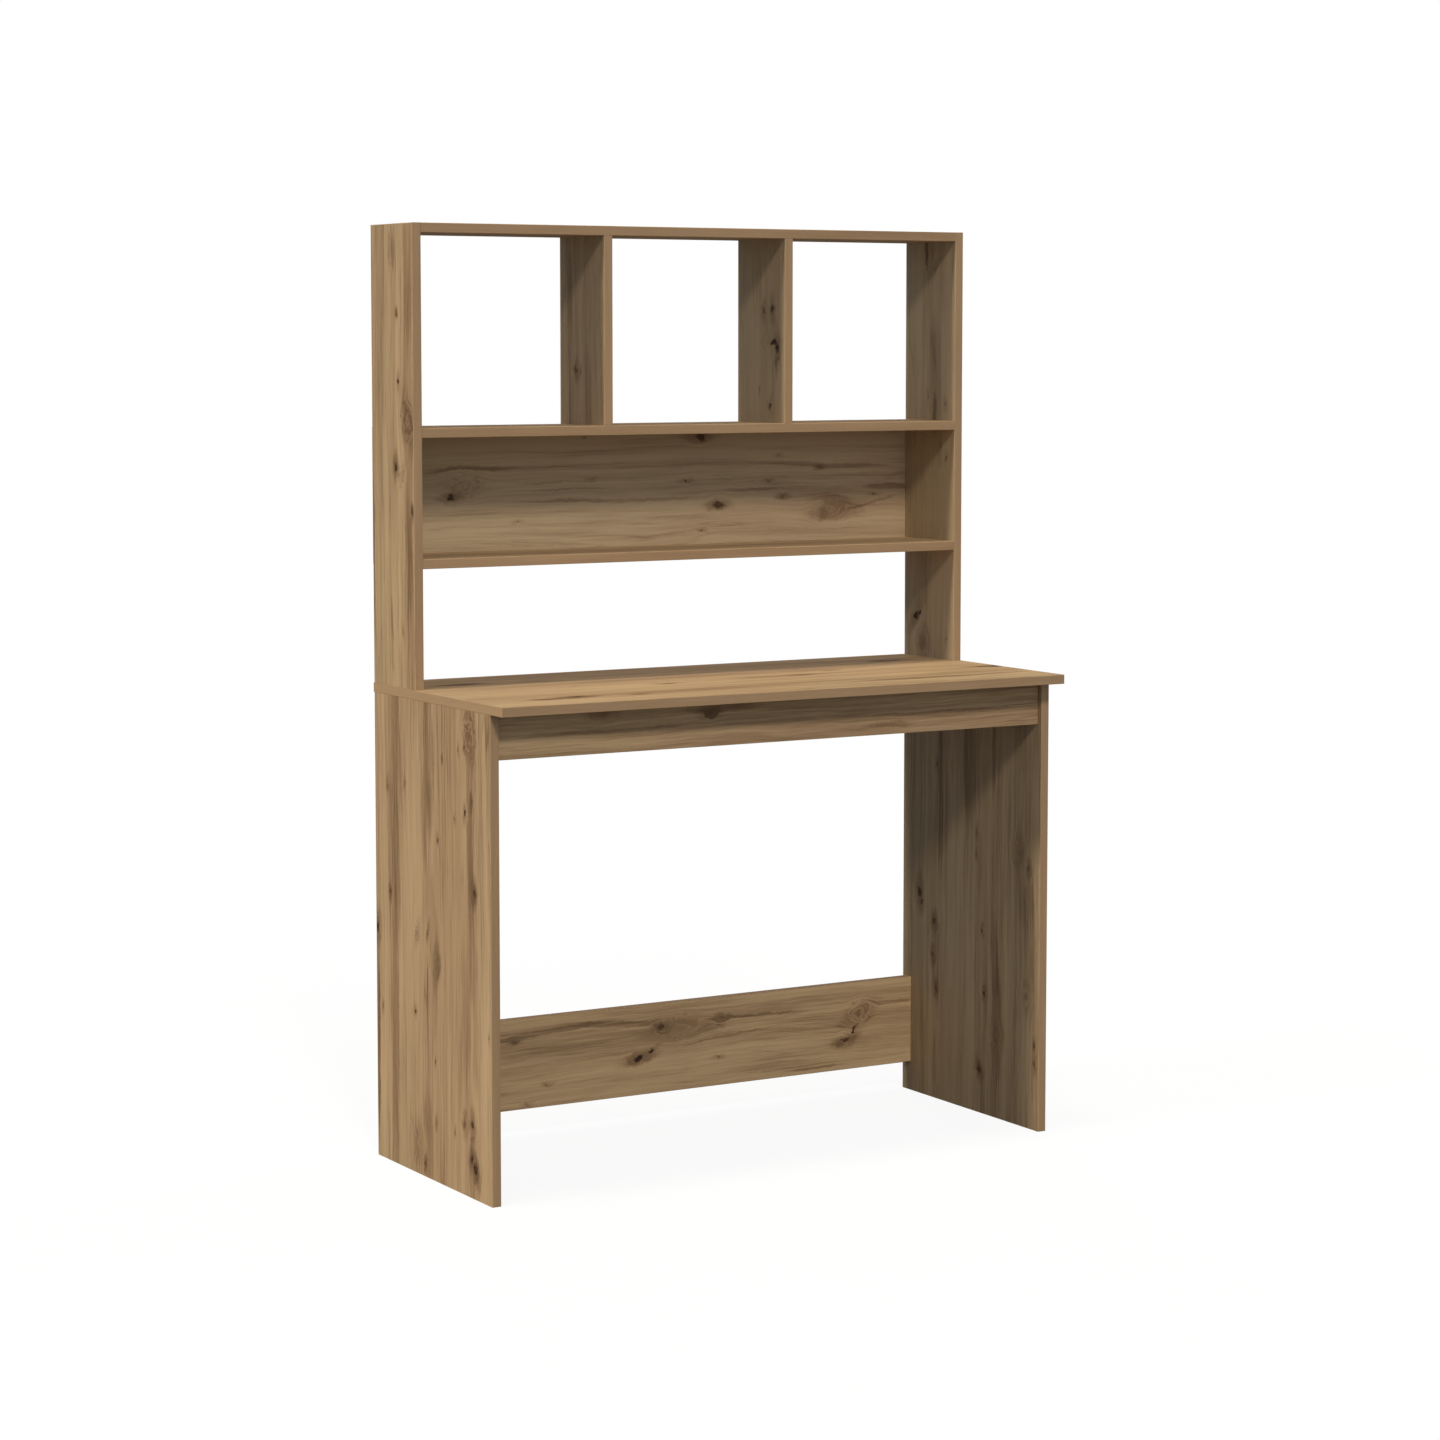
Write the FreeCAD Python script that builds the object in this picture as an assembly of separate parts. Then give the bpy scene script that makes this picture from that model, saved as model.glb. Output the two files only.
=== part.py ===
# Desk with an open shelf unit standing on the rear of its desktop.
# Millimetres. X runs from left to right, Y from the front to the back, Z up from the floor.
# The origin lies on the floor, under the middle of the outer box.
# Flat boards carry glued strips on their open edges and are joined by cam locks and bolts,
# wooden dowels, long screws and nails, all out of sight from the front.
import FreeCAD, Part
import math
import os
from collections import defaultdict

# Overall size
width = 1020.0
depth = 450.0
height = 1480.0

# Boards
board = 15.0
back_board = 2.5
band = 1.0
band_ease_share = 0.6

# Desk
desktop_height = 760.0
front_overhang = 42.0
apron_height = 70.0
apron_setback = 10.0
rail_height = 150.0
rail_floor_gap = 50.0
rail_setback = 10.0

# Shelf unit
hutch_depth = 150.0
compartment_height = 300.0
compartments = 3
back_board_margin = 1.0

# Clearances shared by all the fastenings, and the flats that stand for their round sides
play = 0.1
end_gap = 0.4
overrun = 1.0
same_place = 0.0001
fine_sides = 8
cam_sides = 16
key_sides = 6

# Cam lock and bolt
cam_diameter = 15.0
cam_reach = 34.0
cam_skin = 2.5
cam_sink = 0.2
cam_slot_length = 9.0
cam_slot_width = 1.6
cam_slot_depth = 2.0
bolt_bore_diameter = 8.0
bolt_thread_diameter = 5.0
bolt_thread_skin = 4.0
bolt_shank_diameter = 6.4
bolt_neck_diameter = 4.0
bolt_neck_length = 5.0
bolt_head_diameter = 6.4
bolt_head_length = 3.0

# Dowel
dowel_diameter = 8.0
dowel_length = 30.0
dowel_skin = 4.0
dowel_chamfer = 1.0

# Long screw
screw_length = 50.0
screw_head_diameter = 10.0
screw_head_height = 3.0
screw_shank_diameter = 7.0
screw_core_diameter = 4.6
screw_tip_diameter = 1.0
screw_point_length = 4.0
screw_key_size = 4.0
screw_key_depth = 2.4

# Nail
nail_length = 18.0
nail_diameter = 1.6
nail_head_diameter = 4.0
nail_head_height = 0.6
nails_per_shelf = 4
nail_end_setback = 60.0

# Places of the fastenings along the boards
side_cam_setback = 60.0
side_dowel_setback = 95.0
hutch_row_setback = 30.0
apron_cam_drop = 22.0
apron_dowel_drop = 50.0
rail_dowel_rise = 50.0

# Planes that the pieces share
outer_x = width / 2
inner_x = outer_x - board
front_y = -depth / 2
rear_y = depth / 2
sides_rear_y = rear_y - back_board
base_front_y = front_y + front_overhang
hutch_front_y = sides_rear_y - hutch_depth
desktop_under_z = desktop_height - board
hutch_top_under_z = height - board
upper_shelf_z = hutch_top_under_z - compartment_height
upper_shelf_under_z = upper_shelf_z - board
shelf_gap = (upper_shelf_under_z - desktop_height - board) / 2
lower_shelf_under_z = desktop_height + shelf_gap
lower_shelf_z = lower_shelf_under_z + board
compartment_width = (2 * inner_x - (compartments - 1) * board) / compartments

# Rows of fastenings across the shelf unit, and the desk's own rows between them
hutch_front_row = hutch_front_y + hutch_row_setback
hutch_rear_row = sides_rear_y - hutch_row_setback
hutch_middle_row = (hutch_front_row + hutch_rear_row) / 2
base_cam_rows = (base_front_y + side_cam_setback, (hutch_middle_row + hutch_rear_row) / 2)
base_dowel_rows = (base_front_y + side_dowel_setback, (hutch_middle_row + hutch_front_row) / 2)

V = FreeCAD.Vector
LEFT, RIGHT = V(-1, 0, 0), V(1, 0, 0)
FRONT, REAR = V(0, -1, 0), V(0, 1, 0)
DOWN, UP = V(0, 0, -1), V(0, 0, 1)
EDGES = {"left": (0, 0), "right": (0, 1), "front": (1, 0), "rear": (1, 1), "bottom": (2, 0), "top": (2, 1)}

boards = {}
bands = {}
cuts = defaultdict(list)
fastenings = defaultdict(list)


def block(low, high):
    """A box between two corners."""
    size = [high[axis] - low[axis] for axis in range(3)]
    return Part.makeBox(size[0], size[1], size[2], V(low[0], low[1], low[2]))


def edge_band(low, high, axis, outer):
    """A glued strip whose two long outer corners are eased."""
    strip = block(low, high)
    longest = max(high[i] - low[i] for i in range(3))
    corners = []
    for edge in strip.Edges:
        on_face = all(abs(vertex.Point[axis] - outer) < same_place for vertex in edge.Vertexes)
        if on_face and abs(edge.Length - longest) < same_place:
            corners.append(edge)
    return strip.makeChamfer(band * band_ease_share, corners)


def add_board(name, low, high, banded):
    """A board of the given outer box, less the strips on its banded edges, which are their own pieces."""
    low, high = list(low), list(high)
    for side in banded:
        axis, end = EDGES[side]
        strip_low, strip_high = list(low), list(high)
        if end:
            outer = high[axis]
            strip_low[axis] = high[axis] = outer - band
        else:
            outer = low[axis]
            strip_high[axis] = low[axis] = outer + band
        bands[f"{name}_{side}_band"] = edge_band(strip_low, strip_high, axis, outer)
    boards[name] = block(low, high)


def ring(diameter, z, sides):
    """A closed outline of equal flats about the local Z axis."""
    corners = []
    for index in range(sides):
        angle = 2 * math.pi * index / sides
        corners.append(V(diameter / 2 * math.cos(angle), diameter / 2 * math.sin(angle), z))
    corners.append(corners[0])
    return Part.makePolygon(corners)


def turned(stretches, sides=fine_sides):
    """A round piece or bore: each stretch runs from one height and diameter to the next."""
    pieces = []
    for start, end, start_diameter, end_diameter in stretches:
        outlines = [ring(start_diameter, start, sides), ring(end_diameter, end, sides)]
        pieces.append(Part.makeLoft(outlines, True, True))
    first, *others = pieces
    return first.fuse(others).removeSplitter() if others else first


def bar(diameter, start, end, sides=fine_sides):
    """A straight bar or bore along the local Z axis."""
    return turned([(start, end, diameter, diameter)], sides)


def placed(shape, seat, into, face):
    """The shape with its local Z axis along into and its local X axis along face."""
    placement = FreeCAD.Placement(seat, FreeCAD.Rotation(face, into.cross(face), into, "ZXY"))
    return shape.transformed(placement.toMatrix(), True)


def cam_disc(diameter, inner, outer):
    """A disc along the local X axis, centred where the bolt's head ends up."""
    return placed(bar(diameter, inner, outer, cam_sides), V(0, 0, cam_reach), RIGHT, UP)


def cam_lock():
    """The round lock: cross slots in its face, and a channel that takes the bolt's head."""
    outer = board / 2 - cam_sink
    lock = cam_disc(cam_diameter - 2 * play, cam_skin + end_gap - board / 2, outer)
    channel = bar(bolt_head_diameter + 4 * play, cam_reach - cam_diameter, cam_reach + bolt_head_length)
    long_half, thin_half = cam_slot_length / 2, cam_slot_width / 2
    floor = outer - cam_slot_depth
    slot = block((floor, -long_half, cam_reach - thin_half), (board, long_half, cam_reach + thin_half))
    cross = block((floor, -thin_half, cam_reach - long_half), (board, thin_half, cam_reach + long_half))
    return lock.cut([channel, slot, cross])


def cam_bolt():
    """The bolt: a threaded end, a thick shank, a neck and a head that the lock draws in."""
    head_start = cam_reach - bolt_head_length / 2
    head_end = cam_reach + bolt_head_length / 2
    neck_start = head_start - bolt_neck_length
    return turned([
        (bolt_thread_skin + end_gap - board, 0, bolt_thread_diameter, bolt_thread_diameter),
        (0, neck_start, bolt_shank_diameter, bolt_shank_diameter),
        (neck_start, head_start, bolt_neck_diameter, bolt_neck_diameter),
        (head_start, head_end, bolt_head_diameter, bolt_head_diameter),
    ])


def cam_joint(group, holder, receiver, seat, into, face):
    """A lock in the holder's face, and a bolt screwed into the receiver's face at the seat."""
    lock_bore = cam_disc(cam_diameter, cam_skin - board / 2, board / 2 + overrun)
    bolt_bore = bar(bolt_bore_diameter, 0, cam_reach)
    pilot = bar(bolt_thread_diameter + 2 * play, bolt_thread_skin - board, 0)
    cuts[holder] += [placed(lock_bore, seat, into, face), placed(bolt_bore, seat, into, face)]
    cuts[receiver].append(placed(pilot, seat, into, face))
    fastenings["cam_locks_" + group].append(placed(cam_lock(), seat, into, face))
    fastenings["cam_bolts_" + group].append(placed(cam_bolt(), seat, into, face))


def dowel_joint(group, holder, receiver, seat, into, face):
    """A wooden dowel, mostly in the holder's edge and partly in the receiver's face."""
    in_face = board - dowel_skin
    in_edge = dowel_length - in_face
    diameter = dowel_diameter - 2 * play
    tip_diameter = diameter - 2 * dowel_chamfer
    start, end = end_gap - in_face, in_edge - end_gap
    dowel = turned([
        (start, start + dowel_chamfer, tip_diameter, diameter),
        (start + dowel_chamfer, end - dowel_chamfer, diameter, diameter),
        (end - dowel_chamfer, end, diameter, tip_diameter),
    ])
    cuts[holder].append(placed(bar(dowel_diameter, 0, in_edge), seat, into, face))
    cuts[receiver].append(placed(bar(dowel_diameter, -in_face, 0), seat, into, face))
    fastenings["dowels_" + group].append(placed(dowel, seat, into, face))


def long_screw():
    """A countersunk screw with a six-sided key recess, its head at the local zero."""
    body = turned([
        (0, screw_head_height, screw_head_diameter, screw_shank_diameter),
        (screw_head_height, board, screw_shank_diameter, screw_shank_diameter),
        (board, screw_length - screw_point_length, screw_core_diameter, screw_core_diameter),
        (screw_length - screw_point_length, screw_length, screw_core_diameter, screw_tip_diameter),
    ])
    return body.cut(bar(screw_key_size, 0, screw_key_depth, key_sides))


def screw_joint(group, outer_board, inner_board, seat, into, face):
    """A long screw through the outer board into the inner board's edge. The seat is under its head."""
    head, shank, core = (diameter + 2 * play
                         for diameter in (screw_head_diameter, screw_shank_diameter, screw_core_diameter))
    through = turned([
        (0, screw_head_height, head, shank),
        (screw_head_height, board, shank, shank),
    ])
    cuts[outer_board].append(placed(through, seat, into, face))
    cuts[inner_board].append(placed(bar(core, board, screw_length + end_gap), seat, into, face))
    fastenings[group].append(placed(long_screw(), seat, into, face))


def nail_joint(holders, seat):
    """A nail driven flush from behind through the thin panel."""
    nail = turned([
        (0, nail_head_height, nail_head_diameter, nail_head_diameter),
        (nail_head_height, nail_length, nail_diameter, nail_diameter),
    ])
    head, shank = nail_head_diameter + 2 * play, nail_diameter + 2 * play
    bore = turned([
        (0, nail_head_height, head, head),
        (nail_head_height, nail_length + end_gap, shank, shank),
    ])
    for name in ("back_panel", *holders):
        cuts[name].append(placed(bore, seat, FRONT, UP))
    fastenings["back_panel_nails"].append(placed(nail, seat, FRONT, UP))


def make_desk_boards():
    """Desktop, the two side panels, the apron and the rail."""
    add_board("desktop", (-outer_x, front_y, desktop_under_z), (outer_x, rear_y, desktop_height),
              ("front", "rear", "left", "right"))
    for name, low_x in (("base_side_left", -outer_x), ("base_side_right", inner_x)):
        add_board(name, (low_x, base_front_y, 0), (low_x + board, sides_rear_y, desktop_under_z),
                  ("front", "rear"))
    apron_y = base_front_y + apron_setback
    add_board("front_apron", (-inner_x, apron_y, desktop_under_z - apron_height),
              (inner_x, apron_y + board, desktop_under_z), ("bottom",))
    rail_y = sides_rear_y - rail_setback
    add_board("rear_rail", (-inner_x, rail_y - board, rail_floor_gap),
              (inner_x, rail_y, rail_floor_gap + rail_height), ("bottom", "top"))


def make_hutch_boards():
    """Sides, top, shelves, dividers and the thin back panel of the shelf unit."""
    for name, low_x in (("hutch_side_left", -outer_x), ("hutch_side_right", inner_x)):
        add_board(name, (low_x, hutch_front_y, desktop_height), (low_x + board, sides_rear_y, height),
                  ("top", "front", "rear"))
    for name, under_z, banded in (("hutch_top", hutch_top_under_z, ("front", "rear")),
                                  ("upper_shelf", upper_shelf_under_z, ("front",)),
                                  ("lower_shelf", lower_shelf_under_z, ("front",))):
        add_board(name, (-inner_x, hutch_front_y, under_z),
                  (inner_x, sides_rear_y, under_z + board), banded)
    for name, low_x in (("divider_left", compartment_width - inner_x),
                        ("divider_right", inner_x - compartment_width - board)):
        add_board(name, (low_x, hutch_front_y, upper_shelf_z),
                  (low_x + board, sides_rear_y, hutch_top_under_z), ("front", "rear"))
    add_board("back_panel",
              (back_board_margin - outer_x, sides_rear_y, lower_shelf_under_z + back_board_margin),
              (outer_x - back_board_margin, rear_y, upper_shelf_z - back_board_margin), ())


def join_desk(side, name):
    """Fastenings of one side panel to the desktop, the apron and the rail. Side is -1 left, 1 right."""
    inward = V(-side, 0, 0)
    middle_x = side * (outer_x - board / 2)
    face_x = side * inner_x
    for y in base_cam_rows:
        cam_joint("base", name, "desktop", V(middle_x, y, desktop_under_z), DOWN, inward)
    for y in base_dowel_rows:
        dowel_joint("base", name, "desktop", V(middle_x, y, desktop_under_z), DOWN, inward)
    y = base_front_y + apron_setback + board / 2
    cam_joint("base", "front_apron", name, V(face_x, y, desktop_under_z - apron_cam_drop), inward, REAR)
    dowel_joint("base", "front_apron", name, V(face_x, y, desktop_under_z - apron_dowel_drop), inward, REAR)
    y = sides_rear_y - rail_setback - board / 2
    rail_middle_z = rail_floor_gap + rail_height / 2
    cam_joint("base", "rear_rail", name, V(face_x, y, rail_middle_z), inward, REAR)
    for rise in (-rail_dowel_rise, rail_dowel_rise):
        dowel_joint("base", "rear_rail", name, V(face_x, y, rail_middle_z + rise), inward, REAR)


def join_hutch(side, name):
    """Fastenings of one shelf unit side to the desktop, the top and the shelves."""
    inward = V(-side, 0, 0)
    middle_x = side * (outer_x - board / 2)
    face_x = side * inner_x
    for y in (hutch_front_row, hutch_rear_row):
        screw_joint("hutch_screws", "desktop", name, V(middle_x, y, desktop_under_z), UP, RIGHT)
    dowel_joint("hutch", name, "desktop", V(middle_x, hutch_middle_row, desktop_height), UP, RIGHT)
    for shelf, under_z, face in (("hutch_top", hutch_top_under_z, UP),
                                 ("upper_shelf", upper_shelf_under_z, DOWN),
                                 ("lower_shelf", lower_shelf_under_z, DOWN)):
        z = under_z + board / 2
        cam_joint("hutch", shelf, name, V(face_x, hutch_middle_row, z), inward, face)
        for y in (hutch_front_row, hutch_rear_row):
            dowel_joint("hutch", shelf, name, V(face_x, y, z), inward, face)
    shelf_middle_z = (lower_shelf_z + upper_shelf_under_z) / 2
    nail_joint((name, name + "_rear_band"), V(middle_x, rear_y, shelf_middle_z))


def join_divider(name, middle_x):
    """Screws into a divider from above and from below."""
    for y in (hutch_front_row, hutch_rear_row):
        screw_joint("divider_screws", "hutch_top", name, V(middle_x, y, height), DOWN, RIGHT)
        screw_joint("divider_screws", "upper_shelf", name, V(middle_x, y, upper_shelf_under_z), UP, RIGHT)


def nail_shelves():
    """Evenly spaced nails from the thin panel into both shelves' rear edges."""
    first_x = nail_end_setback - inner_x
    pitch = -2 * first_x / (nails_per_shelf - 1)
    for name, under_z in (("upper_shelf", upper_shelf_under_z), ("lower_shelf", lower_shelf_under_z)):
        for index in range(nails_per_shelf):
            nail_joint((name,), V(first_x + index * pitch, rear_y, under_z + board / 2))


def write_parts():
    """One file per board and strip, and one per group of like fastenings."""
    os.makedirs("parts", exist_ok=True)
    solids = {**boards, **bands}
    for name, shape in solids.items():
        if cuts[name]:
            shape = shape.cut(cuts[name])
        shape.Solids[0].exportStep(f"parts/{name}.step")
    for name, group in fastenings.items():
        loose = [solid for piece in group for solid in piece.Solids]
        Part.makeCompound(loose).exportStep(f"parts/{name}.step")


make_desk_boards()
make_hutch_boards()
for side, hand in ((-1, "left"), (1, "right")):
    join_desk(side, "base_side_" + hand)
    join_hutch(side, "hutch_side_" + hand)
    join_divider("divider_" + hand, side * (compartment_width / 2 + board / 2))
nail_shelves()
write_parts()
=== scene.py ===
# Desk with a shelf unit: finishes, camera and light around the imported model.
# Metres, in the model's own frame: X left to right, Y front to back, Z up, origin on the floor.
import math
import random

import bpy
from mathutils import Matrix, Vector


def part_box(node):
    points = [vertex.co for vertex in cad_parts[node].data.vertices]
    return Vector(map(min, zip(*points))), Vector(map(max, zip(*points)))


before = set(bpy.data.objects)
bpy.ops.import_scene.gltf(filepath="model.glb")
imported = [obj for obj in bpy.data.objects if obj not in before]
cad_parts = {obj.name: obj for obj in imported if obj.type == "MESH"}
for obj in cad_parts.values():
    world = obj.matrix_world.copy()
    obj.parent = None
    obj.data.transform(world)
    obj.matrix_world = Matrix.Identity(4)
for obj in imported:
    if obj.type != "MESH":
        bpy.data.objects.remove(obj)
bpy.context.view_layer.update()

# Each piece, in the order of the names, draws a number from this range that places its own noise
SEED = 7
SEED_RANGE = (1.0, 40.0)

# Camera at the photograph's place. The angles are in radians, the lens and sensor in millimetres.
CAMERA_PLACE = (-2.844, -4.829, 1.300)
CAMERA_TILT = -0.0874
CAMERA_TURN = -0.5314
CAMERA_LENS = 87.785
CAMERA_SENSOR = 36.0
CAMERA_SHIFT = -0.05
CAMERA_REACH = 60.0

# Far lights. Each shines along its direction, over a spread in degrees. Shiny faces mirror some of them.
LIGHTS = {
    "key": dict(direction=(0.29, 1.0, -0.83), spread=9, strength=1.52, colour=(1.0, 0.93, 0.84)),
    "top": dict(direction=(0.16, 0.06, -1.0), spread=15, strength=1.61, colour=(1.0, 0.905, 0.70)),
    "left": dict(direction=(1.0, 0.01, -0.28), spread=4, strength=1.81, colour=(1.0, 0.93, 0.84),
                 mirrored=False),
    "front": dict(direction=(0.10, 1.0, -0.18), spread=34, strength=0.45, colour=(0.97, 0.98, 0.98)),
    "behind": dict(direction=(-0.35, -1.0, -0.13), spread=14, strength=1.20, colour=(1.0, 0.93, 0.86),
                   mirrored=False),
    "right": dict(direction=(-1.0, -0.10, -0.14), spread=14, strength=1.15, colour=(1.0, 0.93, 0.85),
                  mirrored=False),
}

# The backdrop: how the camera sees it, how shiny faces mirror it, and the soft light that it throws
WHITE = (1.0, 1.0, 1.0)
BACKDROP_WHITE = 1.0
MIRRORED_GREY = 0.24
AMBIENT_STRENGTH = 0.195
AMBIENT_COLOUR = (0.88, 1.15, 1.62)

# The floor: how white the camera sees it, how much light it throws back, and a glow that grows with distance
FLOOR_RADIUS = 14.0
FLOOR_SIDES = 96
FLOOR_WHITE = 0.88
FLOOR_RETURN = 0.16
FLOOR_MOTTLE = (0.04, 0.98)
FLOOR_ROUGHNESS = 0.9
FLOOR_GLOW = dict(start=0.4, end=3.0, at_start=0.90, at_end=1.0)

# Printed oak, as it looks in the photograph's lighting. Colours are screen values from 0 to 255.
OAK_LIGHT = (188, 160, 121)
OAK_MIDDLE = (171, 143, 107)
OAK_BROWN = (145, 117, 85)
OAK_DARK = (110, 85, 60)
OAK_PINK = (172, 137, 106)
OAK_OLIVE = (160, 141, 109)
KNOT_BROWN = (92, 67, 46)
KNOT_BLACK = (44, 34, 26)

# What the print's red, green and blue gain or lose where it is fully olive
OLIVE_TURN = (-0.18, 0.04, 0.34)

# Edge strips, chipboard, pressed fibre, dowels and fittings
STRIP_LIGHT = (170, 139, 103)
STRIP_DARK = (150, 120, 87)
CHIP_LIGHT = (196, 166, 122)
CHIP_DARK = (142, 108, 70)
FIBRE_LIGHT = (158, 126, 90)
FIBRE_DARK = (112, 84, 57)
DOWEL_LIGHT = (214, 184, 142)
DOWEL_DARK = (186, 150, 106)
ZINC = (204, 203, 199)
STEEL = (190, 188, 184)

# How deep each finish's relief is, in metres
OAK_RELIEF = 0.00012
STRIP_RELIEF = 0.00008
METAL_RELIEF = 0.00004
DOWEL_RELIEF = 0.0001

# How strongly each finish mirrors, and how metallic the fittings look
OAK_MIRROR = 0.13
PLAIN_MIRROR = 0.35
METAL_MIRROR = 0.5
METAL_SHARE = 0.6

# Roughness of strips, dowels and fittings: how much their fine noise adds, and what it is without
STRIP_ROUGHNESS = (0.15, 0.42)
DOWEL_ROUGHNESS = (0.2, 0.5)
TOOL_MARKS_ROUGHEN = 0.2

# The value that noise lies round
NOISE_MEAN = 0.5


def linear(colour):
    """A colour given as three screen values from 0 to 255, as the shader wants it, by the sRGB formula."""
    channels = []
    for value in colour:
        share = value / 255
        channels.append(share / 12.92 if share <= 0.04045 else ((share + 0.055) / 1.055) ** 2.4)
    return (*channels, 1.0)


def toward_olive(colour, share):
    """A screen colour turned olive by a share."""
    return tuple(value * (1 + turn * share) for value, turn in zip(colour, OLIVE_TURN))


class Nodes:
    """Short calls that add nodes to one tree and join them."""

    def __init__(self, tree):
        self.tree = tree

    def add(self, kind, **settings):
        node = self.tree.nodes.new("ShaderNode" + kind)
        for name, value in settings.items():
            setattr(node, name, value)
        return node

    def feed(self, socket, value):
        """Joins another node's output to a socket, or gives the socket a plain value."""
        if isinstance(value, bpy.types.NodeSocket):
            self.tree.links.new(value, socket)
        else:
            socket.default_value = value

    def math(self, operation, *values, clamp=False):
        node = self.add("Math", operation=operation, use_clamp=clamp)
        for socket, value in zip(node.inputs, values):
            self.feed(socket, value)
        return node.outputs[0]

    def vector(self, operation, *values, result="Vector"):
        node = self.add("VectorMath", operation=operation)
        for socket, value in zip(node.inputs, values):
            self.feed(socket, value)
        return node.outputs[result]

    def join(self, x, y, z=0.0):
        node = self.add("CombineXYZ")
        for socket, value in zip(node.inputs, (x, y, z)):
            self.feed(socket, value)
        return node.outputs[0]

    def split(self, vector):
        node = self.add("SeparateXYZ")
        self.feed(node.inputs[0], vector)
        return node.outputs

    def place(self):
        """Where a point lies on the object, in metres."""
        return self.add("TexCoord").outputs["Object"]

    def facing(self, axis):
        """How far a point's face is turned toward the end of an axis, from -1 to 1."""
        return self.split(self.add("NewGeometry").outputs["Normal"])[axis]

    def noise(self, place, detail=2.0, roughness=0.5, result="Fac"):
        node = self.add("TexNoise")
        self.feed(node.inputs["Vector"], place)
        node.inputs["Scale"].default_value = 1.0
        node.inputs["Detail"].default_value = detail
        node.inputs["Roughness"].default_value = roughness
        return node.outputs[result]

    def even_noise(self, place, waves, detail=2.0, roughness=0.5):
        """Noise with the same number of waves per metre in every direction."""
        return self.noise(self.vector("MULTIPLY", place, (waves, waves, waves)), detail, roughness)

    def vary(self, value, noise, weight, clamp=False):
        """A value that a noise moves up and down."""
        swing = self.math("SUBTRACT", noise, NOISE_MEAN)
        return self.math("MULTIPLY_ADD", swing, weight, value, clamp=clamp)

    def fade(self, value, start, end, at_start=0.0, at_end=1.0):
        """An S-shaped passage from one number to another while a value goes from start to end."""
        # It never leaves its range, and a clamp would only hold its values on the shader's stack for longer
        node = self.add("MapRange", interpolation_type="SMOOTHSTEP", clamp=False)
        for name, item in (("Value", value), ("From Min", start), ("From Max", end),
                           ("To Min", at_start), ("To Max", at_end)):
            self.feed(node.inputs[name], item)
        return node.outputs[0]

    def mix(self, share, low, high):
        """The colour low with a share of the colour high in it."""
        # The node's colours go in at 6 and 7, and the result comes out at 2
        node = self.add("Mix", data_type="RGBA")
        for socket, value in zip((node.inputs[0], node.inputs[6], node.inputs[7]), (share, low, high)):
            self.feed(socket, value)
        return node.outputs[2]

    def ramp(self, value, stops):
        node = self.add("ValToRGB")
        elements = node.color_ramp.elements
        while len(elements) < len(stops):
            elements.new(1.0)
        for element, (place, colour) in zip(elements, stops):
            element.position = place
            element.color = linear(colour)
        self.feed(node.inputs[0], value)
        return node.outputs[0]

    def glow(self, kind, colour, strength):
        """A shader that gives off one plain colour."""
        node = self.add(kind)
        node.inputs["Color"].default_value = (*colour, 1.0)
        node.inputs["Strength"].default_value = strength
        return node.outputs[0]

    def blend(self, share, first, second):
        """The first shader with a share of the second in it."""
        node = self.add("MixShader")
        for socket, value in zip(node.inputs, (share, first, second)):
            self.feed(socket, value)
        return node.outputs[0]

    def group(self, tree, values):
        node = self.add("Group", node_tree=tree)
        for name, value in values.items():
            self.feed(node.inputs[name], value)
        return node.outputs


# A knot's parts, each from where it begins to where it is full, in half breadths from the knot's middle
KNOT_PUSH = (3.4, 0.0)
KNOT_WIND = (2.0, 0.7)
KNOT_CORE = (1.0, 0.45)
KNOT_HALO = (2.1, 0.4)
KNOT_RINGS = (2.4, 1.2)

# The halo counts distance along the knot by this share, which draws the halo out
HALO_DRAWN_OUT = 0.5

# A knot's rings: how fast their wave turns, how far the ragged noise moves it, and where in it they show
RING_TURN = 6.2
RING_RAGGED = 16.0
RING_SHOWS = (0.15, 0.85)

# A streak's flanks and its ends, each from where it begins to where it is full, and how much its ends taper
STREAK_FLANKS = (1.25, 0.60)
STREAK_ENDS = (1.0, 0.35)
STREAK_TAPER = 0.75


def new_group(name, vectors, numbers, results):
    """An empty node group. Returns its tree, its nodes, what it is given and where its results go."""
    tree = bpy.data.node_groups.new(name, "ShaderNodeTree")
    for kind, labels in (("Vector", vectors), ("Float", numbers)):
        for label in labels:
            tree.interface.new_socket(label, in_out="INPUT", socket_type="NodeSocket" + kind)
    for label in results:
        tree.interface.new_socket(label, in_out="OUTPUT", socket_type="NodeSocketFloat")
    given = tree.nodes.new("NodeGroupInput").outputs
    result = tree.nodes.new("NodeGroupOutput").inputs
    return tree, Nodes(tree), given, result


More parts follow.
